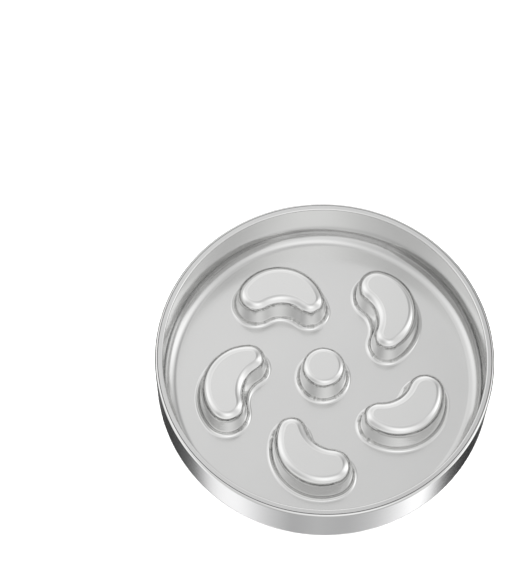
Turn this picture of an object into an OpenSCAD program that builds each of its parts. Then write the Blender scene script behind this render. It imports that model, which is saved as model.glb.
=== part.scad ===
// Slow feeder dog bowl, stainless steel, double walled.
// An inner pan and an outer shell are pressed from sheet and meet in a fine
// seam near the outer edge of the rim. A rubber ring sits in a shallow seat
// pressed into the base. Upright, +Z up, the ring's raised pads on z = 0.

/* [Body] */
// Diameter over the rim and the outer wall
bowl_d = 210; // [202:1:240]
// Overall height, from the foot of the ring to the top of the rim
bowl_h = 44; // [42:0.5:52]
// Sheet thickness of the outer shell
shell_t = 0.8; // [0.6:0.1:0.9]
// Sheet thickness of the inner pan
pan_t = 0.7; // [0.5:0.1:0.8]
// Radius of the rounded edge between the outer wall and the base
base_edge_r = 8.3; // [5:0.1:12]

/* [Rim] */
// Width of the rim, from the inner wall to the outer wall
rim_w = 4.8; // [4:0.1:8]
// Radius of the rim's inner edge
rim_in_r = 0.9; // [0.9:0.1:1.4]
// Radius of the rim's outer edge
rim_out_r = 1.4; // [1.2:0.1:1.8]
// Radius of the small rounding on each side of the seam
seam_r = 0.3; // [0.15:0.05:0.4]

/* [Inner pan] */
// Height of the pan's floor above the surface the bowl stands on
floor_z = 5.8; // [5.6:0.1:8]
// Radius between the pan's floor and its wall
floor_edge_r = 8; // [4:0.5:10]

/* [Obstacles] */
// Depth of the obstacle tops below the rim
top_depth = 17; // [14:0.1:19]
// Radius of the edge round a kidney's flat top
top_edge_r = 6.4; // [4:0.1:7]
// Radius at the foot of each obstacle
foot_r = 3; // [2:0.1:4]
// Draft of the obstacle walls, in degrees
draft = 6; // [3:0.5:8]
// Radius of the round obstacle in the middle, at the top of its wall
centre_r = 13.7; // [12:0.1:15]
// Radius of the edge round the middle obstacle's flat top
centre_edge_r = 4.7; // [3:0.1:6]
// Number of kidney-shaped obstacles in the circle
kidneys = 5; // [3:1:5]
// Distance of a kidney's outer end from the middle of the bowl
outer_end_at = 65.7; // [64:0.1:67]
// Direction of that end, in degrees
outer_end_dir = 58; // [55:0.5:60]
// Radius of the outer end
outer_end_r = 10.7; // [9.5:0.1:11.5]
// Distance of a kidney's inner end from the middle of the bowl
inner_end_at = 46.8; // [45.5:0.1:48]
// Direction of that end, in degrees
inner_end_dir = 28.2; // [26:0.1:30]
// Radius of the inner end
inner_end_r = 8.3; // [7.8:0.1:9]
// Radius of the long bulging side
back_r = 28.2; // [27:0.1:32]
// Radius of the hollow side
hollow_r = 19.2; // [17:0.1:26]

/* [Non-slip ring] */
// Inner radius of the ring
ring_in_r = 66.6; // [60:0.1:70]
// Outer radius of the ring
ring_out_r = 80.9; // [76:0.1:84]
// Depth of the seat pressed into the base
seat_depth = 1.5; // [1:0.1:1.6]
// How far the raised pads stand proud of the steel base
pad_high = 1.8; // [1.4:0.1:2]
// How far the low pads stand proud of the steel base
pad_low = 0.7; // [0.4:0.1:1.2]
// Number of raised pads; as many low ones lie between them
pads = 9; // [6:1:12]
// Length of the ramp between a raised pad and a low one
ramp_run = 2.6; // [1.5:0.1:4]

/* [Hidden] */

R = bowl_d / 2;
base_z = pad_high;               // underside of the steel base
wall_r = R - rim_w;              // inner face of the pan's wall
seam_at = R - rim_out_r - 0.1;   // radius of the rim seam
top_z = bowl_h - top_depth;      // flat tops of the obstacles
seat_gap = 0.2;                  // ring to seat wall, at the seat's floor
seat_slope = 0.9;                // run of the seat's sloped walls
skin_lap = 0.5;                  // how far the floor runs under an obstacle's foot

function dir(a) = [cos(a), sin(a)];
function ang(v) = atan2(v[1], v[0]);

// ---- Wall of an obstacle ------------------------------------------------
// s is the distance outward from the obstacle's outline, z the height.
// The wall starts at w, below an edge of radius e round the flat top. top_at
// is where the flat top ends and foot_at where the floor begins.
function top_at(e, w) = w - e * cos(draft);
function foot_at(e, w) = w + foot_r * cos(draft)
    + (top_z - floor_z - (e + foot_r) * (1 - sin(draft))) * tan(draft);

// Section of one face of the sheet, lying t below the upper face, from the
// flat top down the wall to the floor: rounded in nt and nf steps.
function wall_face(e, w, t, nt, nf) = concat(
    [for (i = [0 : nt]) let (a = 90 - (90 - draft) * i / nt)
        [top_at(e, w) + (e - t) * cos(a), top_z - e + (e - t) * sin(a)]],
    [for (i = [0 : nf]) let (a = 180 + draft + (90 - draft) * i / nf)
        [foot_at(e, w) + (foot_r + t) * cos(a), floor_z + foot_r + (foot_r + t) * sin(a)]]);

wall_s = 1.4;                    // from a kidney's outline out to the top of its wall
foot_s = foot_at(top_edge_r, wall_s);

// ---- Kidney outline: four arcs, each tangent to the next -----------------
end_a = outer_end_at * dir(outer_end_dir);      // outer end
end_b = inner_end_at * dir(inner_end_dir);      // inner end

// Centre at distance ra from a and rb from b, on the right of a to b.
function right_centre(a, ra, b, rb) =
    let (d = norm(b - a), u = (b - a) / d,
         x = (ra * ra - rb * rb + d * d) / (2 * d),
         y = sqrt(ra * ra - x * x))
    a + u * x - y * [-u[1], u[0]];

back_c = right_centre(end_a, back_r - outer_end_r, end_b, back_r - inner_end_r);
hollow_c = right_centre(end_a, hollow_r + outer_end_r, end_b, hollow_r + inner_end_r);

// Directions of the four tangent points.
function past(a, lo) = a < lo ? past(a + 360, lo) : a - lo >= 360 ? past(a - 360, lo) : a;
back_a = ang(end_a - back_c);
back_b = past(ang(end_b - back_c), -180);
hollow_a = ang(end_a - hollow_c);
hollow_b = ang(end_b - hollow_c);
end_a_to = past(hollow_a + 180, back_a);
end_b_from = hollow_b + 180;
end_b_to = past(back_b, end_b_from);

na = 7;     // steps on half of the outer end
nh = 10;    // steps on the hollow side and on the back
nb = 6;     // steps on half of the inner end
function arc(c, r, a0, a1, n, q) = [for (i = [0 : n - 1]) c + r * dir(a0 + (a1 - a0) * (i + q) / n)];

// Outline moved outward by d, anticlockwise from the middle of the outer end.
// q moves its points on by that share of a step.
function kidney(d, q = 0) = let (ma = (back_a + end_a_to) / 2, mb = (end_b_from + end_b_to) / 2)
    concat(arc(end_a, outer_end_r + d, ma, end_a_to, na, q),
           arc(hollow_c, hollow_r - d, hollow_a, hollow_b, nh, q),
           arc(end_b, inner_end_r + d, end_b_from, mb, nb, q),
           arc(end_b, inner_end_r + d, mb, end_b_to, nb, q),
           arc(back_c, back_r + d, back_b, back_a, nh, q),
           arc(end_a, outer_end_r + d, back_a, ma, na, q));

kn = 2 * (na + nh + nb);

// Faces between ring i and ring i + 1 of points, n points to a ring.
function band(i, n) = [for (j = [0 : n - 1], h = [0, 1])
    let (a = i * n + j, b = i * n + (j + 1) % n)
    h == 0 ? [a, b + n, b] : [a, a + n, b + n]];
// Strips that close ring i, across the kidney from side to side.
function lid(i, n, up) = [for (j = [0 : n / 2 - 1], h = [0, 1])
    let (a = i * n + j, b = i * n + j + 1, c = i * n + (n - j - 1), d = i * n + (n - j) % n)
    if (!(h == 0 && j == n / 2 - 1) && !(h == 1 && j == 0))
        let (f = h == 0 ? [a, b, c] : [a, c, d]) up ? f : [f[2], f[1], f[0]]];

// A face with its last step made longer or shorter by the factor k.
function reach(face, k) = let (n = len(face) - 1)
    [for (i = [0 : n]) i < n ? face[i] : face[n - 1] + (face[n] - face[n - 1]) * k];

// The pressed skin of one kidney. Its foot meets the floor's upper face at
// foot_s and ends inside the floor's thickness.
module kidney_skin() {
    upper = reach(wall_face(top_edge_r, wall_s, 0, 4, 3), 1.7);
    lower = reach(wall_face(top_edge_r, wall_s, pan_t, 2, 2), 0.88);
    nu = len(upper);
    nl = len(lower);
    rings = concat(upper, [for (i = [nl - 1 : -1 : 0]) lower[i]]);
    points = [for (q = rings) for (v = kidney(q[0])) [v[0], v[1], q[1]]];
    faces = concat([for (i = [0 : nu + nl - 2]) for (f = band(i, kn)) f],
                   lid(0, kn, true), lid(nu + nl - 1, kn, false));
    polyhedron(points, [for (f = faces) [f[2], f[1], f[0]]], convexity = 8);
}

// ---- Pieces ---------------------------------------------------------------
// Section of the pan: six straight runs and bends that join end to end.
module pan_section() {
    up = wall_face(centre_edge_r, centre_r, 0, 9, 7);
    down = wall_face(centre_edge_r, centre_r, pan_t, 9, 7);
    flat_to = 30;
    polygon(concat([[0, top_z]],
                   up,
                   [[flat_to, floor_z], [flat_to, floor_z - pan_t]],
                   [for (i = [len(down) - 1 : -1 : 0]) down[i]],
                   [[0, top_z - pan_t]]));
    translate([flat_to, floor_z - pan_t])
        square([wall_r - floor_edge_r - flat_to, pan_t]);
    quarter(wall_r - floor_edge_r, floor_z + floor_edge_r, floor_edge_r + pan_t, pan_t, 1, -1);
    translate([wall_r, floor_z + floor_edge_r])
        square([pan_t, bowl_h - rim_in_r - floor_z - floor_edge_r]);
    quarter(wall_r + rim_in_r, bowl_h - rim_in_r, rim_in_r, pan_t, -1, 1);
    difference() {
        translate([wall_r + rim_in_r, bowl_h - pan_t])
            square([seam_at - wall_r - rim_in_r, pan_t]);
        difference() {
            translate([seam_at - seam_r, bowl_h - seam_r]) square([1, 1]);
            translate([seam_at - seam_r, bowl_h - seam_r]) circle(r = seam_r, $fn = 48);
        }
    }
}

// A quarter bend of sheet t thick round [x, y], outer radius r, that opens
// towards sx and sy.
module quarter(x, y, r, t, sx, sy) {
    intersection() {
        translate([x, y]) difference() {
            circle(r = r, $fn = 96);
            circle(r = r - t, $fn = 96);
        }
        translate([sx > 0 ? x : x - 2 * r, sy > 0 ? y : y - 2 * r]) square(2 * r);
    }
}

// One pressed sheet: land, wall, floor and six obstacles.
module inner_bowl() {
    color([0.80, 0.80, 0.79]) {
        difference() {
            rotate_extrude($fn = 240) pan_section();
            for (k = [0 : kidneys - 1])
                rotate(k * 360 / kidneys) translate([0, 0, floor_z - pan_t - 1])
                    linear_extrude(pan_t + 2) polygon(kidney(foot_s - skin_lap, 0.5));
        }
        for (k = [0 : kidneys - 1]) rotate(k * 360 / kidneys) kidney_skin();
    }
}

// One drawn sheet: lip, wall, rounded edge, flat base and ring seat.
module outer_shell() {
    t = shell_t;
    b = base_z;
    si = ring_in_r - seat_gap;
    so = ring_out_r + seat_gap;
    color([0.72, 0.72, 0.73]) rotate_extrude($fn = 240) {
        polygon([[0, b], [si - seat_slope, b], [si, b + seat_depth],
                 [so, b + seat_depth], [so + seat_slope, b], [so + 4, b], [so + 4, b + t],
                 [so + seat_slope + t / 2, b + t], [so + t / 2, b + seat_depth + t],
                 [si - t / 2, b + seat_depth + t], [si - seat_slope - t / 2, b + t], [0, b + t]]);
        translate([so + 4, b]) square([R - base_edge_r - so - 4, t]);
        quarter(R - base_edge_r, b + base_edge_r, base_edge_r, t, 1, -1);
        translate([R - t, b + base_edge_r]) square([t, bowl_h - rim_out_r - b - base_edge_r]);
        quarter(R - rim_out_r, bowl_h - rim_out_r, rim_out_r, t, 1, 1);
        difference() {
            translate([seam_at, bowl_h - t]) square([R - rim_out_r - seam_at, t]);
            difference() {
                translate([seam_at + seam_r - 1, bowl_h - seam_r]) square([1, 1]);
                translate([seam_at + seam_r, bowl_h - seam_r]) circle(r = seam_r, $fn = 48);
            }
        }
    }
}

// One moulded ring: nine raised pads, with nine low ones cut between them.
module non_slip_ring() {
    step = 180 / pads;
    lift = pad_high - pad_low;
    slope = atan(lift / ramp_run);
    e = 0.4;
    z1 = base_z + seat_depth;
    color([0.30, 0.30, 0.31]) difference() {
        rotate_extrude($fn = 240) {
            translate([ring_in_r, e]) square([ring_out_r - ring_in_r, z1 - e]);
            translate([ring_in_r + e, 0]) square([ring_out_r - ring_in_r - 2 * e, 1]);
            translate([ring_in_r + e, e]) circle(r = e, $fn = 48);
            translate([ring_out_r - e, e]) circle(r = e, $fn = 48);
        }
        // Each cut lies under two ramps that rise from the pads' faces, and
        // stops at the low pads' level.
        for (k = [0 : pads - 1]) rotate(2 * k * step) intersection() {
            rotate([slope, 0, 0]) translate([ring_in_r - 12, -40, -20]) cube([40, 80, 20]);
            rotate(step) rotate([-slope, 0, 0]) translate([ring_in_r - 12, -40, -20]) cube([40, 80, 20]);
            rotate(step / 2) translate([ring_in_r - 14, -30, -10]) cube([44, 60, 10 + lift]);
        }
    }
}

inner_bowl();
outer_shell();
non_slip_ring();
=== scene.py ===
import math

import bpy
import numpy as np
from mathutils import Matrix, Vector
from mathutils.geometry import delaunay_2d_cdt


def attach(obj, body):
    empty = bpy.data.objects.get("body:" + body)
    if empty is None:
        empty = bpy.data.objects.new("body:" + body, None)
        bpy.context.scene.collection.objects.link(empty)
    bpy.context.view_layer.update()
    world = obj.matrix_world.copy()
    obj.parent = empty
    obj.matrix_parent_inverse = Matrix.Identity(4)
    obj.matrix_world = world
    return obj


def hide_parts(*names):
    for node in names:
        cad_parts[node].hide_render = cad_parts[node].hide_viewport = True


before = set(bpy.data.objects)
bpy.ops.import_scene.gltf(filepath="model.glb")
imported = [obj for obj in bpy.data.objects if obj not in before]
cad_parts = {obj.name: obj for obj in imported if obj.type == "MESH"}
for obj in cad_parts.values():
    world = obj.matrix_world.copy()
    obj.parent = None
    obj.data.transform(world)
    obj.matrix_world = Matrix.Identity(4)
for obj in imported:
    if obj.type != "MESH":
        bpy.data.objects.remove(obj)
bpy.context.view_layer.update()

# ---- Sizes, in mm, the same as in the CAD part ---------------------------
R = 105.0
TOP = 44.0
BASE = 1.8
SHELL_T = 0.8
PAN_T = 0.7
WALL_R = 100.2
RIM_IN = 0.9
RIM_OUT = 1.4
SEAM = 103.5
SEAM_R = 0.3
FLOOR = 5.8
FLOOR_EDGE = 8.0
BASE_EDGE = 8.3
TOP_Z = 27.0
FOOT = 3.0
DRAFT = math.radians(6)
# edge radius, and where the wall starts: out from a kidney's outline, and
# from the axis for the middle obstacle
KIDNEY = (6.4, 1.4)
MIDDLE = (4.7, 13.7)
SEAT = 1.5
SEAT_IN, SEAT_OUT = 66.4, 81.1
SEAT_SLOPE = 0.9

AROUND = 384


# ---- Mesh patches ----------------------------------------------------------
class Patches:
    """Patches of points with their true normals, welded into one mesh."""

    def __init__(self):
        self.v, self.n, self.f, self.m, self.count = [], [], [], [], 0

    def add(self, points, normals, faces, material=0):
        points = np.asarray(points, float).reshape(-1, 3)
        normals = np.asarray(normals, float).reshape(-1, 3)
        normals = normals / np.linalg.norm(normals, axis=1)[:, None]
        for f in faces:
            f = list(f)
            a, b, c = points[f[0]], points[f[1]], points[f[2]]
            g = np.cross(b - a, c - a)
            if len(f) > 3:
                g = g + np.cross(c - a, points[f[3]] - a)
            if g @ normals[f].sum(0) < 0:
                f.reverse()
            self.f.append([i + self.count for i in f])
            self.m.append(material)
        self.v.append(points)
        self.n.append(normals)
        self.count += len(points)

    def build(self, name):
        v = np.vstack(self.v)
        n = np.vstack(self.n)
        keys = np.round(v * 1e4).astype(np.int64)
        _, first, inverse = np.unique(keys, axis=0, return_index=True, return_inverse=True)
        inverse = inverse.reshape(-1)
        points = v[first] * 0.001
        faces, loops, mats = [], [], []
        for f, m in zip(self.f, self.m):
            g, h = [], []
            for i in f:
                j = int(inverse[i])
                if j not in g:
                    g.append(j)
                    h.append(i)
            if len(g) > 2:
                faces.append(g)
                loops.extend(h)
                mats.append(m)
        mesh = bpy.data.meshes.new(name)
        mesh.from_pydata(points.tolist(), [], faces)
        mesh.update()
        mesh.polygons.foreach_set("use_smooth", [True] * len(faces))
        mesh.polygons.foreach_set("material_index", mats)
        mesh.normals_split_custom_set([tuple(n[i]) for i in loops])
        mesh.update()
        obj = bpy.data.objects.new(name, mesh)
        bpy.context.scene.collection.objects.link(obj)
        return obj


def revolve(out, profile, material=0, around=AROUND):
    """profile is a list of (r, z, nr, nz)."""
    p = np.array(profile, float)
    a = np.arange(around) * 2 * math.pi / around
    c, s = np.cos(a)[:, None], np.sin(a)[:, None]
    k = len(p)
    pts = np.stack([c * p[:, 0], s * p[:, 0], np.tile(p[:, 1], (around, 1))], 2)
    nrm = np.stack([c * p[:, 2], s * p[:, 2], np.tile(p[:, 3], (around, 1))], 2)
    faces = [
        (i * k + j, i * k + j + 1, ((i + 1) % around) * k + j + 1, ((i + 1) % around) * k + j)
        for i in range(around)
        for j in range(k - 1)
    ]
    out.add(pts, nrm, faces, material)


def disc(out, r, z, up, material=0, around=AROUND):
    a = np.arange(around) * 2 * math.pi / around
    pts = np.stack([r * np.cos(a), r * np.sin(a), np.full(around, z)], 1)
    out.add(pts, np.tile([0, 0, 1.0 if up else -1.0], (around, 1)), [list(range(around))], material)


def bend(cx, cz, r, a0, a1, n, sign=1):
    """Arc round (cx, cz), angles in degrees; sign -1 has the normals point at the centre."""
    out = []
    for i in range(n + 1):
        a = math.radians(a0 + (a1 - a0) * i / n)
        out.append((cx + r * math.cos(a), cz + r * math.sin(a), sign * math.cos(a), sign * math.sin(a)))
    return out


# ---- Kidney outline ---------------------------------------------------------
def direction(a):
    return np.array([math.cos(a), math.sin(a)])


def right_centre(a, ra, b, rb):
    d = np.linalg.norm(b - a)
    u = (b - a) / d
    x = (ra * ra - rb * rb + d * d) / (2 * d)
    y = math.sqrt(ra * ra - x * x)
    return a + u * x - y * np.array([-u[1], u[0]])


def kidney_outline(n):
    """n points and outward normals at equal steps round the outline, its bends eased into each other."""
    ea, ra = 65.7 * direction(math.radians(58)), 10.7
    eb, rb = 46.8 * direction(math.radians(28.2)), 8.3
    back, hollow = 28.2, 19.2
    bc = right_centre(ea, back - ra, eb, back - rb)
    hc = right_centre(ea, hollow + ra, eb, hollow + rb)
    ang = lambda v: math.atan2(v[1], v[0])

    def past(a, lo):
        while a < lo:
            a += 2 * math.pi
        while a - lo >= 2 * math.pi:
            a -= 2 * math.pi
        return a

    ba = ang(ea - bc)
    bb = past(ang(eb - bc), -math.pi)
    if bb > ba:
        bb -= 2 * math.pi
    ha, hb = ang(ea - hc), ang(eb - hc)
    ea_to = past(ha + math.pi, ba)
    eb_from = hb + math.pi
    eb_to = past(bb, eb_from)
    middle = (ba + ea_to) / 2
    # (centre, radius, from, to, +1 where the outline bulges)
    arcs = [
        (ea, ra, middle, ea_to, 1),
        (hc, hollow, ha, hb, -1),
        (eb, rb, eb_from, eb_to, 1),
        (bc, back, bb, ba, 1),
        (ea, ra, ba, middle, 1),
    ]
    lengths = [abs(t1 - t0) * r for _, r, t0, t1, _ in arcs]
    total = sum(lengths)
    fine = 4096
    s = (np.arange(fine) + 0.5) * total / fine
    bend_at = np.zeros(fine)
    edge = 0.0
    for (c, r, t0, t1, sign), length in zip(arcs, lengths):
        inside = (s >= edge) & (s < edge + length)
        bend_at[inside] = sign / r
        edge += length
    # ease the curvature over about 2 mm
    f = np.fft.rfft(bend_at)
    w = np.arange(len(f)) * 2 * math.pi / total
    bend_at = np.fft.irfft(f * np.exp(-0.5 * (w * 1.1) ** 2), fine)
    bend_at *= 2 * math.pi / (bend_at.sum() * total / fine)
    step = total / fine
    heading = middle + math.pi / 2 + np.concatenate([[0], np.cumsum(bend_at) * step])
    mid = (heading[1:] + heading[:-1]) / 2
    xy = np.vstack([[0, 0], np.cumsum(np.stack([np.cos(mid), np.sin(mid)], 1), 0) * step])
    gap = xy[-1].copy()
    xy -= np.linspace(0, 1, fine + 1)[:, None] * gap
    # put the eased outline's middle where the plain one has it
    plain = np.vstack([c + r * np.stack([np.cos(np.linspace(t0, t1, 400, endpoint=False)), np.sin(np.linspace(t0, t1, 400, endpoint=False))], 1) for c, r, t0, t1, _ in arcs])
    weights = np.concatenate([np.full(400, length / 400) for length in lengths])
    xy = xy[:-1] + (plain * weights[:, None]).sum(0) / weights.sum() - xy[:-1].mean(0)
    pick = (np.arange(n) * fine / n).astype(int)
    h = heading[:-1][pick]
    return xy[pick], np.stack([np.sin(h), -np.cos(h)], 1)


def wall_section(kind, t, nt, nw, nf):
    """(s, z, ns, nz) of one face of the sheet, from an obstacle's flat top down to the floor."""
    edge, start = kind
    rise = TOP_Z - FLOOR - (edge + FOOT) * (1 - math.sin(DRAFT))
    top_s = start - edge * math.cos(DRAFT)
    foot_s = start + rise * math.tan(DRAFT) + FOOT * math.cos(DRAFT)
    out = []
    r = edge - t
    for i in range(nt + 1):
        a = math.pi / 2 - (math.pi / 2 - DRAFT) * i / nt
        out.append((top_s + r * math.cos(a), TOP_Z - edge + r * math.sin(a), math.cos(a), math.sin(a)))
    r = FOOT + t
    foot = []
    for i in range(nf + 1):
        a = math.pi + DRAFT + (math.pi / 2 - DRAFT) * i / nf
        foot.append((foot_s + r * math.cos(a), FLOOR + FOOT + r * math.sin(a), -math.cos(a), -math.sin(a)))
    a, b = np.array(out[-1]), np.array(foot[0])
    for i in range(1, nw):
        out.append(tuple(a + (b - a) * i / nw))
    return out + foot


def turn(xy, k):
    a = math.radians(72 * k)
    m = np.array([[math.cos(a), -math.sin(a)], [math.sin(a), math.cos(a)]])
    return xy @ m.T


def obstacle(out, xy, nn, section, up, material):
    n, k = len(xy), len(section)
    sec = np.array(section)
    pts = np.zeros((k, n, 3))
    nrm = np.zeros((k, n, 3))
    for i, (s, z, ns, nz) in enumerate(sec):
        pts[i, :, :2] = xy + s * nn
        pts[i, :, 2] = z
        nrm[i, :, :2] = ns * nn
        nrm[i, :, 2] = nz
    if not up:
        nrm = -nrm
    faces = [
        (i * n + j, i * n + (j + 1) % n, (i + 1) * n + (j + 1) % n, (i + 1) * n + j)
        for i in range(k - 1)
        for j in range(n)
    ]
    out.add(pts, nrm, faces, material)
    lid = [(j, j + 1, n - j - 1, (n - j) % n) for j in range(n // 2)]
    lid = [list(dict.fromkeys(f)) for f in lid]
    out.add(pts[0], np.tile([0, 0, 1.0 if up else -1.0], (n, 1)), [f for f in lid if len(f) > 2], material + 1 if up else material)
    return pts[-1, :, :2]


def floor_plate(out, z, up, outer, holes, material):
    """Flat plate inside outer with the holes left open."""
    loops = [outer] + holes
    pts = np.vstack(loops)
    edges, start = [], 0
    for loop in loops:
        n = len(loop)
        edges += [(start + i, start + (i + 1) % n) for i in range(n)]
        start += n
    _, _, faces, origins, *_ = delaunay_2d_cdt([Vector(p) for p in pts], edges, [], 1, 1e-7)
    v = pts[[o[0] for o in origins]]
    keep = []
    middles = np.array([v[list(f)].mean(0) for f in faces])
    drop = np.zeros(len(faces), bool)
    for hole in holes:
        x0, y0 = hole[:, 0], hole[:, 1]
        x1, y1 = np.roll(x0, -1), np.roll(y0, -1)
        mx, my = middles[:, 0][:, None], middles[:, 1][:, None]
        cross = ((y0 > my) != (y1 > my)) & (mx < (x1 - x0) * (my - y0) / np.where(y1 == y0, 1e-30, y1 - y0) + x0)
        drop |= cross.sum(1) % 2 == 1
    keep = [f for f, d in zip(faces, drop) if not d]
    p3 = np.column_stack([v, np.full(len(v), z)])
    out.add(p3, np.tile([0, 0, 1.0 if up else -1.0], (len(v), 1)), keep, material)


# ---- Inner pan -----------------------------------------------------------
# material slots: 0 rim, 1 floor, 2 wall and obstacle sides, 3 obstacle tops, 4 seam, near-black as painted shade for
# the seam's crevice
def pan():
    out = Patches()
    t = PAN_T
    # upper face, from the seam to the floor
    lip = bend(SEAM - SEAM_R, TOP - SEAM_R, SEAM_R, 0, 90, 6)
    revolve(out, lip, 4)
    edge = bend(WALL_R + RIM_IN, TOP - RIM_IN, RIM_IN, 90, 180, 10)
    revolve(out, lip[-1:] + [(r, TOP, 0, 1) for r in (102.6, 101.8)] + edge[:1], 0)
    edge += [(WALL_R, z, -1, 0) for z in (36, 29, 21)]
    revolve(out, edge + [(WALL_R, FLOOR + FLOOR_EDGE, -1, 0)], 2)
    edge = bend(WALL_R - FLOOR_EDGE, FLOOR + FLOOR_EDGE, FLOOR_EDGE, 0, -90, 14, -1)
    revolve(out, edge, 1)
    # seam face, near-black as painted shade, and under face
    revolve(out, [(SEAM, TOP - SEAM_R, 1, 0), (SEAM, TOP - t, 1, 0)], 4)
    low = [(SEAM, TOP - t, 0, -1), (WALL_R + RIM_IN, TOP - t, 0, -1)]
    revolve(out, low, 0)
    revolve(out, bend(WALL_R + RIM_IN, TOP - RIM_IN, RIM_IN - t, 90, 180, 3, -1) + [(WALL_R + t, FLOOR + FLOOR_EDGE, 1, 0)], 0)
    revolve(out, bend(WALL_R - FLOOR_EDGE, FLOOR + FLOOR_EDGE, FLOOR_EDGE + t, 0, -90, 8, 1), 1)
    # obstacles
    xy, nn = kidney_outline(208)
    around = 160
    for up_face, off, z, steps in ((True, 0, FLOOR, (11, 3, 8)), (False, t, FLOOR - t, (4, 1, 3))):
        sec = wall_section(KIDNEY, off, *steps)
        holes = [obstacle(out, turn(xy, k), turn(nn, k), sec, up_face, 2) for k in range(5)]
        sec = wall_section(MIDDLE, off, *steps)
        rows = [(s, zz, ns if up_face else -ns, nz if up_face else -nz) for s, zz, ns, nz in sec]
        revolve(out, rows, 2, around)
        disc(out, rows[0][0], rows[0][1], up_face, 3 if up_face else 2, around)
        a = np.arange(around) * 2 * math.pi / around
        holes.append(np.stack([rows[-1][0] * np.cos(a), rows[-1][0] * np.sin(a)], 1))
        a = np.arange(AROUND) * 2 * math.pi / AROUND
        outer = (WALL_R - FLOOR_EDGE) * np.stack([np.cos(a), np.sin(a)], 1)
        floor_plate(out, z, up_face, outer, holes, 1)
    return out.build("pan_skin")


# ---- Outer shell -----------------------------------------------------------
# material slots: 0 wall, 1 base, 2 seam, near-black as painted shade for the seam's crevice, 3 rounded rim
def shell():
    out = Patches()
    t = SHELL_T
    lip = [(SEAM, TOP - t, -1, 0), (SEAM, TOP - SEAM_R, -1, 0)]
    revolve(out, lip, 2)
    top = bend(SEAM + SEAM_R, TOP - SEAM_R, SEAM_R, 180, 90, 6)
    # the lip is a flowing bend, so the land ends where the bend starts
    top = [q for q in top if q[0] <= R - RIM_OUT] or top[:1]
    revolve(out, top, 2)
    rim = top[-1:] + bend(R - RIM_OUT, TOP - RIM_OUT, RIM_OUT, 90, 0, 12)
    revolve(out, rim, 3)
    top = rim[-1:] + [(R, z, 1, 0) for z in (36, 29, 22, 16)]
    edge = bend(R - BASE_EDGE, BASE + BASE_EDGE, BASE_EDGE, 0, -90, 22)
    revolve(out, top + edge[:1], 0)
    revolve(out, edge, 0)
    q = 0.25  # small rounding where the seat's walls meet the base
    so, si = SEAT_OUT + SEAT_SLOPE, SEAT_IN - SEAT_SLOPE
    slope = math.degrees(math.atan2(SEAT, SEAT_SLOPE))
    half = q * math.tan(math.radians(slope / 2))
    base = [(R - BASE_EDGE, BASE, 0, -1), (90, BASE, 0, -1), (so + half, BASE, 0, -1)]
    base += bend(so + half, BASE + q, q, -90, -90 - slope, 4)[1:]
    lo = bend(SEAT_OUT - half, BASE + SEAT - q, q, 90 - slope, 90, 4, -1)
    base += lo
    base += [(r, BASE + SEAT, 0, -1) for r in (76, 71.5)]
    base += bend(SEAT_IN + half, BASE + SEAT - q, q, 90, 90 + slope, 4, -1)
    base += bend(si - half, BASE + q, q, -90 + slope, -90, 4)
    base += [(r, BASE, 0, -1) for r in (50, 34, 18)]
    revolve(out, base, 1)
    disc(out, 18, BASE, False, 1)
    # inner faces, which the closed bowl hides
    revolve(out, [(SEAM, TOP - t, 0, -1), (R - RIM_OUT, TOP - t, 0, -1)], 0)
    revolve(out, bend(R - RIM_OUT, TOP - RIM_OUT, RIM_OUT - t, 90, 0, 4, -1) + [(R - t, BASE + BASE_EDGE, -1, 0)], 0)
    inner = bend(R - BASE_EDGE, BASE + BASE_EDGE, BASE_EDGE - t, 0, -90, 10, -1)
    inner += [(so + t / 2, BASE + t, 0, 1)]
    revolve(out, inner, 1)
    g = math.radians(slope)
    n = (math.sin(g), math.cos(g))
    revolve(out, [(so + t / 2, BASE + t, n[0], n[1]), (SEAT_OUT + t / 2, BASE + SEAT + t, n[0], n[1])], 1)
    revolve(out, [(SEAT_OUT + t / 2, BASE + SEAT + t, 0, 1), (SEAT_IN - t / 2, BASE + SEAT + t, 0, 1)], 1)
    revolve(out, [(SEAT_IN - t / 2, BASE + SEAT + t, -n[0], n[1]), (si - t / 2, BASE + t, -n[0], n[1])], 1)
    revolve(out, [(si - t / 2, BASE + t, 0, 1), (18, BASE + t, 0, 1)], 1)
    disc(out, 18, BASE + t, True, 1)
    return out.build("shell_skin")


# ---- Materials --------------------------------------------------------------
class Nodes:
    def __init__(self, material):
        material.use_nodes = True
        self.t = material.node_tree
        self.t.nodes.clear()

    def new(self, kind, **values):
        node = self.t.nodes.new(kind)
        for k, v in values.items():
            setattr(node, k, v)
        return node

    def link(self, a, b):
        self.t.links.new(a, b)

    def put(self, socket, value):
        if isinstance(value, (int, float)):
            socket.default_value = value
        elif isinstance(value, (tuple, list)):
            socket.default_value = value
        else:
            self.link(value, socket)

    def math(self, op, a, b=None, c=None, clamp=False):
        node = self.new("ShaderNodeMath", operation=op, use_clamp=clamp)
        for i, x in enumerate((a, b, c)):
            if x is not None:
                self.put(node.inputs[i], x)
        return node.outputs[0]

    def noise(self, vector, scale=1.0, detail=2.0, rough=0.5):
        node = self.new("ShaderNodeTexNoise")
        self.link(vector, node.inputs["Vector"])
        node.inputs["Scale"].default_value = scale
        node.inputs["Detail"].default_value = detail
        node.inputs["Roughness"].default_value = rough
        return node.outputs["Fac"]

    def spread(self, x, lo, hi, to_lo, to_hi):
        node = self.new("ShaderNodeMapRange")
        self.link(x, node.inputs["Value"])
        for name, v in (("From Min", lo), ("From Max", hi), ("To Min", to_lo), ("To Max", to_hi)):
            node.inputs[name].default_value = v
        return node.outputs["Result"]


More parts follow.
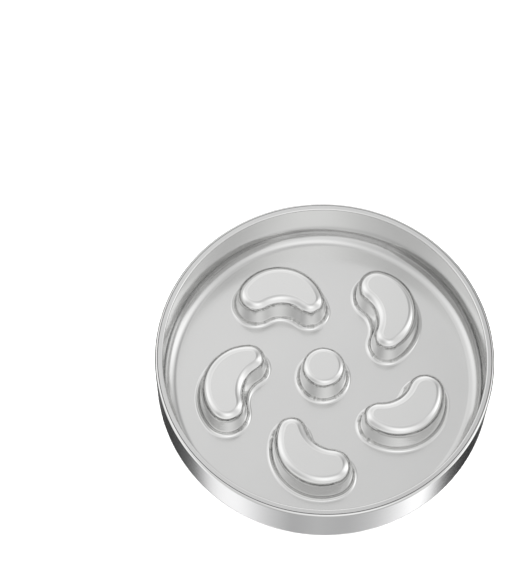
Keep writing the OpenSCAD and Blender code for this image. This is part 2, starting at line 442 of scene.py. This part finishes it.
def steel(name, tone, rough, rough_vary, lines, blur, bump, anisotropic, wobble=0.0, grain=0.0):
    """Steel brushed in circles round the bowl's axis."""
    m = bpy.data.materials.new(name)
    k = Nodes(m)
    co = k.new("ShaderNodeTexCoord").outputs["Object"]
    xyz = k.new("ShaderNodeSeparateXYZ")
    k.link(co, xyz.inputs[0])
    x, y, z = xyz.outputs
    r = k.math("SQRT", k.math("ADD", k.math("MULTIPLY", x, x), k.math("MULTIPLY", y, y)))
    safe = k.math("MAXIMUM", r, 1e-5)
    cx, cy = k.math("DIVIDE", x, safe), k.math("DIVIDE", y, safe)
    s = k.math("ADD", r, z)

    def along(across, around):
        v = k.new("ShaderNodeCombineXYZ")
        k.link(k.math("MULTIPLY", s, across), v.inputs[0])
        k.link(k.math("MULTIPLY", cx, around), v.inputs[1])
        k.link(k.math("MULTIPLY", cy, around), v.inputs[2])
        return v.outputs[0]

    fine = k.noise(along(4200.0, 2.2), 1.0, 3.0, 0.6)
    broad = k.noise(along(900.0, 1.3), 1.0, 2.0, 0.5)
    both = k.math("ADD", k.math("MULTIPLY", fine, 0.6), k.math("MULTIPLY", broad, 0.4))
    cloud = k.noise(co, 28.0, 2.0, 0.5)
    speck = k.noise(co, 2600.0, 2.0, 0.6)
    p = k.new("ShaderNodeBsdfPrincipled")
    p.inputs["Metallic"].default_value = 1.0
    # colour: steel, a little lighter and darker along the brush lines
    mix = k.new("ShaderNodeMix", data_type="RGBA")
    k.link(k.spread(k.math("ADD", k.math("MULTIPLY", both, lines), k.math("MULTIPLY", cloud, 1 - lines)), 0.3, 0.7, 0.0, 1.0), mix.inputs["Factor"])
    mix.inputs["A"].default_value = tuple(c * (1 - 0.5 * blur) for c in tone) + (1,)
    mix.inputs["B"].default_value = tuple(min(c * (1 + 0.5 * blur), 1) for c in tone) + (1,)
    k.link(mix.outputs["Result"], p.inputs["Base Color"])
    # roughness
    vary = k.math("ADD", k.math("MULTIPLY", both, 0.7), k.math("MULTIPLY", cloud, 0.3))
    k.link(k.spread(vary, 0.3, 0.7, rough - rough_vary, rough + rough_vary), p.inputs["Roughness"])
    if anisotropic:
        p.inputs["Anisotropic"].default_value = anisotropic
        tangent = k.new("ShaderNodeTangent", direction_type="RADIAL", axis="Z")
        p.inputs["Anisotropic Rotation"].default_value = 0.25
        k.link(tangent.outputs[0], p.inputs["Tangent"])
    # bump: brush lines, then a soft unevenness of the pressed sheet
    height = k.math("MULTIPLY", both, bump)
    if grain:
        height = k.math("ADD", height, k.math("MULTIPLY", speck, grain))
    b = k.new("ShaderNodeBump")
    b.inputs["Strength"].default_value = 1.0
    b.inputs["Distance"].default_value = 1.0
    k.link(height, b.inputs["Height"])
    normal = b.outputs[0]
    if wobble:
        w = k.new("ShaderNodeBump")
        w.inputs["Strength"].default_value = 1.0
        w.inputs["Distance"].default_value = 1.0
        k.link(k.math("MULTIPLY", cloud, wobble), w.inputs["Height"])
        k.link(normal, w.inputs["Normal"])
        normal = w.outputs[0]
    k.link(normal, p.inputs["Normal"])
    out = k.new("ShaderNodeOutputMaterial")
    k.link(p.outputs[0], out.inputs[0])
    return m


def rubber(name):
    m = bpy.data.materials.new(name)
    k = Nodes(m)
    co = k.new("ShaderNodeTexCoord").outputs["Object"]
    fine = k.noise(co, 1800.0, 3.0, 0.6)
    cloud = k.noise(co, 60.0, 2.0, 0.5)
    p = k.new("ShaderNodeBsdfPrincipled")
    mix = k.new("ShaderNodeMix", data_type="RGBA")
    k.link(cloud, mix.inputs["Factor"])
    mix.inputs["A"].default_value = (0.085, 0.086, 0.088, 1)
    mix.inputs["B"].default_value = (0.125, 0.126, 0.128, 1)
    k.link(mix.outputs["Result"], p.inputs["Base Color"])
    k.link(k.spread(fine, 0.3, 0.7, 0.42, 0.56), p.inputs["Roughness"])
    b = k.new("ShaderNodeBump")
    b.inputs["Strength"].default_value = 1.0
    b.inputs["Distance"].default_value = 1.0
    k.link(k.math("MULTIPLY", fine, 0.00002), b.inputs["Height"])
    k.link(b.outputs[0], p.inputs["Normal"])
    out = k.new("ShaderNodeOutputMaterial")
    k.link(p.outputs[0], out.inputs[0])
    return m


wall_steel = steel("wall_steel", (0.74, 0.74, 0.745), 0.15, 0.04, 0.8, 0.10, 0.0000025, 0.8)
base_steel = steel("base_steel", (0.74, 0.74, 0.745), 0.30, 0.07, 0.9, 0.12, 0.000004, 0.75)
rim_steel = steel("rim_steel", (0.62, 0.62, 0.618), 0.14, 0.04, 0.7, 0.08, 0.0000015, 0.4)
floor_steel = steel("floor_steel", (0.66, 0.66, 0.656), 0.17, 0.04, 0.5, 0.06, 0.0000010, 0.4, wobble=0.00006)
side_steel = steel("side_steel", (0.75, 0.75, 0.745), 0.07, 0.02, 0.2, 0.04, 0.0, 0.0, wobble=0.00004)
top_steel = steel("top_steel", (0.70, 0.70, 0.695), 0.16, 0.04, 0.2, 0.03, 0.0, 0.0, wobble=0.00004, grain=0.0000005)
# seam: near-black steel, painted shade standing in for the dark crevice where the pan's rim meets the shell
seam_painted_shade = steel("seam_painted_shade", (0.09, 0.09, 0.09), 0.35, 0.05, 0.5, 0.05, 0.0, 0.0)
ring_rubber = rubber("ring_rubber")

pan_skin = pan()
for m in (rim_steel, floor_steel, side_steel, top_steel, seam_painted_shade):
    pan_skin.data.materials.append(m)
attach(pan_skin, "root")
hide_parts("inner_bowl")

shell_skin = shell()
for m in (wall_steel, base_steel, seam_painted_shade, side_steel):
    shell_skin.data.materials.append(m)
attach(shell_skin, "root")
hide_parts("outer_shell")

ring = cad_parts["non_slip_ring"]
ring.data.materials.clear()
ring.data.materials.append(ring_rubber)

# ---- Stage -----------------------------------------------------------------
ground = bpy.data.meshes.new("ground")
ground.from_pydata([(-9, -9, 0), (9, -9, 0), (9, 9, 0), (-9, 9, 0)], [], [(0, 1, 2, 3)])
ground = bpy.data.objects.new("ground", ground)
bpy.context.scene.collection.objects.link(ground)
pale = bpy.data.materials.new("pale_floor")
k = Nodes(pale)
d = k.new("ShaderNodeBsdfDiffuse")
d.inputs["Color"].default_value = (0.93, 0.93, 0.93, 1)
o = k.new("ShaderNodeOutputMaterial")
k.link(d.outputs[0], o.inputs[0])
ground.data.materials.append(pale)
ground.visible_glossy = False


def soft_light(name, place, aim, size, power, size_y=None, glossy=True):
    data = bpy.data.lights.new(name, "AREA")
    data.shape = "RECTANGLE" if size_y else "SQUARE"
    data.size = size
    if size_y:
        data.size_y = size_y
    data.energy = power
    light = bpy.data.objects.new(name, data)
    light.location = place
    light.rotation_mode = "QUATERNION"
    light.rotation_quaternion = (Vector(aim) - Vector(place)).to_track_quat("-Z", "Y")
    light.visible_glossy = glossy
    bpy.context.scene.collection.objects.link(light)
    return light


soft_light("over", (0.0, 0.0, 3.0), (0, 0, 0), 3.0, 110, glossy=False)
soft_light("front", (0.0, -1.0, 2.0), (0, 0, 0), 1.6, 34, 0.9, glossy=False)

# The room that the steel mirrors: above, an even pale dome with a few soft
# lit panels and darker gaps; low down, brighter and darker sides.
world = bpy.data.worlds.new("room")
bpy.context.scene.world = world
world.use_nodes = True
k = Nodes(world)
co = k.new("ShaderNodeTexCoord").outputs["Generated"]
xyz = k.new("ShaderNodeSeparateXYZ")
k.link(co, xyz.inputs[0])
x, y, z = xyz.outputs


def panel(azimuth, height, strength, width):
    """A soft round patch of light, or of dark where strength is negative; angles in degrees."""
    a, h = math.radians(azimuth), math.radians(height)
    dot = k.new("ShaderNodeVectorMath", operation="DOT_PRODUCT")
    k.link(co, dot.inputs[0])
    dot.inputs[1].default_value = (math.cos(h) * math.cos(a), math.cos(h) * math.sin(a), math.sin(h))
    away = k.math("DIVIDE", k.math("SUBTRACT", dot.outputs["Value"], 1.0), math.radians(width) ** 2)
    return k.math("MULTIPLY", k.math("POWER", math.e, away), strength)


dome = 1.104
for azimuth, height, strength, width in (
    (13, 22, 1.12, 16.5),
    (34, 29, -1.00, 32.5),
    (-79, 64.5, 0.45, 13.5),
    (-146, 42.5, -0.48, 24),
    (173, 47, 0.40, 15.5),
    (75, 23, 0.56, 25.5),
    (21, 64, 0.26, 6),
    (135, 78, -0.09, 7),
    (13, 48, 0.70, 10.5),
    (63, 66, -0.15, 6),
    (90, 75.5, -0.10, 5),
    (57, 53, -0.12, 8),
    (80, 67, 0.21, 10),
    (40, 60, -0.22, 8),
    (-40, 75, -0.12, 10),
    (0, 85, -0.15, 8),
    (120, 45, -0.19, 12),
):
    dome = k.math("ADD", panel(azimuth, height, strength, width), dome)

turned = k.math("MULTIPLY_ADD", k.math("ARCTAN2", y, x), 0.5 / math.pi, 0.5)
ramp = k.new("ShaderNodeValToRGB")
k.link(turned, ramp.inputs[0])
# direction in degrees: brightness
sides = [(-180, 0.9), (-170, 1.22), (-150, 1.22), (-130, 0.76), (-110, 0.5), (-90, 0.58), (-70, 0.52), (-50, 0.64), (-32, 0.98), (-10, 1.68), (3, 0.55), (10, 0.0), (30, 0.0), (54, 0.05), (72, 0.48), (90, 0.60), (102, 0.45), (118, 0.07), (134, 0.04), (154, 0.07), (168, 0.11), (175, 0.42)]
els = ramp.color_ramp.elements
while len(els) > 1:
    els.remove(els[0])
els[0].position = 0.0
els[0].color = (sides[0][1],) * 3 + (1,)
for a, v in sides[1:]:
    e = els.new((a + 180) / 360)
    e.color = (v, v, v, 1)
e = els.new(1.0)
e.color = (sides[0][1],) * 3 + (1,)
mix = k.new("ShaderNodeMix", data_type="FLOAT")
k.link(k.spread(z, 0.08, 0.28, 0.0, 1.0), mix.inputs["Factor"])
k.link(ramp.outputs["Color"], mix.inputs["A"])
k.link(k.math("MAXIMUM", dome, 0.03), mix.inputs["B"])
low = k.new("ShaderNodeBackground")
low.inputs["Color"].default_value = (1, 1, 1, 1)
k.link(mix.outputs["Result"], low.inputs["Strength"])
seen = k.new("ShaderNodeBackground")
seen.inputs["Color"].default_value = (0.95, 0.95, 0.95, 1)
path = k.new("ShaderNodeLightPath")
both = k.new("ShaderNodeMixShader")
k.link(path.outputs["Is Camera Ray"], both.inputs[0])
k.link(low.outputs[0], both.inputs[1])
k.link(seen.outputs[0], both.inputs[2])
o = k.new("ShaderNodeOutputWorld")
k.link(both.outputs[0], o.inputs[0])

bpy.context.scene.view_settings.view_transform = "Standard"

# ---- Camera, at the photograph's viewing angle -------------------------------
# The rim's centre and the bowl's axis, in camera axes (right, down, forward).
SCALE = 0.105
c = np.array([0.38349, 0.40561, 12.68999]) * SCALE
n = np.array([0.0018484, -0.414336, -0.910122])
n /= np.linalg.norm(n)
ex = np.array([1.0, 0, 0]) - n * n[0]
ex /= np.linalg.norm(ex)
ey = np.cross(n, ex)
place = -np.array([c @ ex, c @ ey, c @ n]) + np.array([0, 0, TOP * 0.001])
right = (ex[0], ey[0], n[0])
up = (-ex[1], -ey[1], -n[1])
back = (-ex[2], -ey[2], -n[2])
data = bpy.data.cameras.new("camera")
data.sensor_fit = "AUTO"
data.sensor_width = 36.0
data.lens = 2154.3 * 36.0 / 572.0
data.clip_start, data.clip_end = 0.05, 60.0
camera = bpy.data.objects.new("camera", data)
m = Matrix([
    (right[0], up[0], back[0], place[0]),
    (right[1], up[1], back[1], place[1]),
    (right[2], up[2], back[2], place[2]),
    (0, 0, 0, 1),
])
camera.matrix_world = m
bpy.context.scene.collection.objects.link(camera)
bpy.context.scene.camera = camera

bpy.context.view_layer.update()
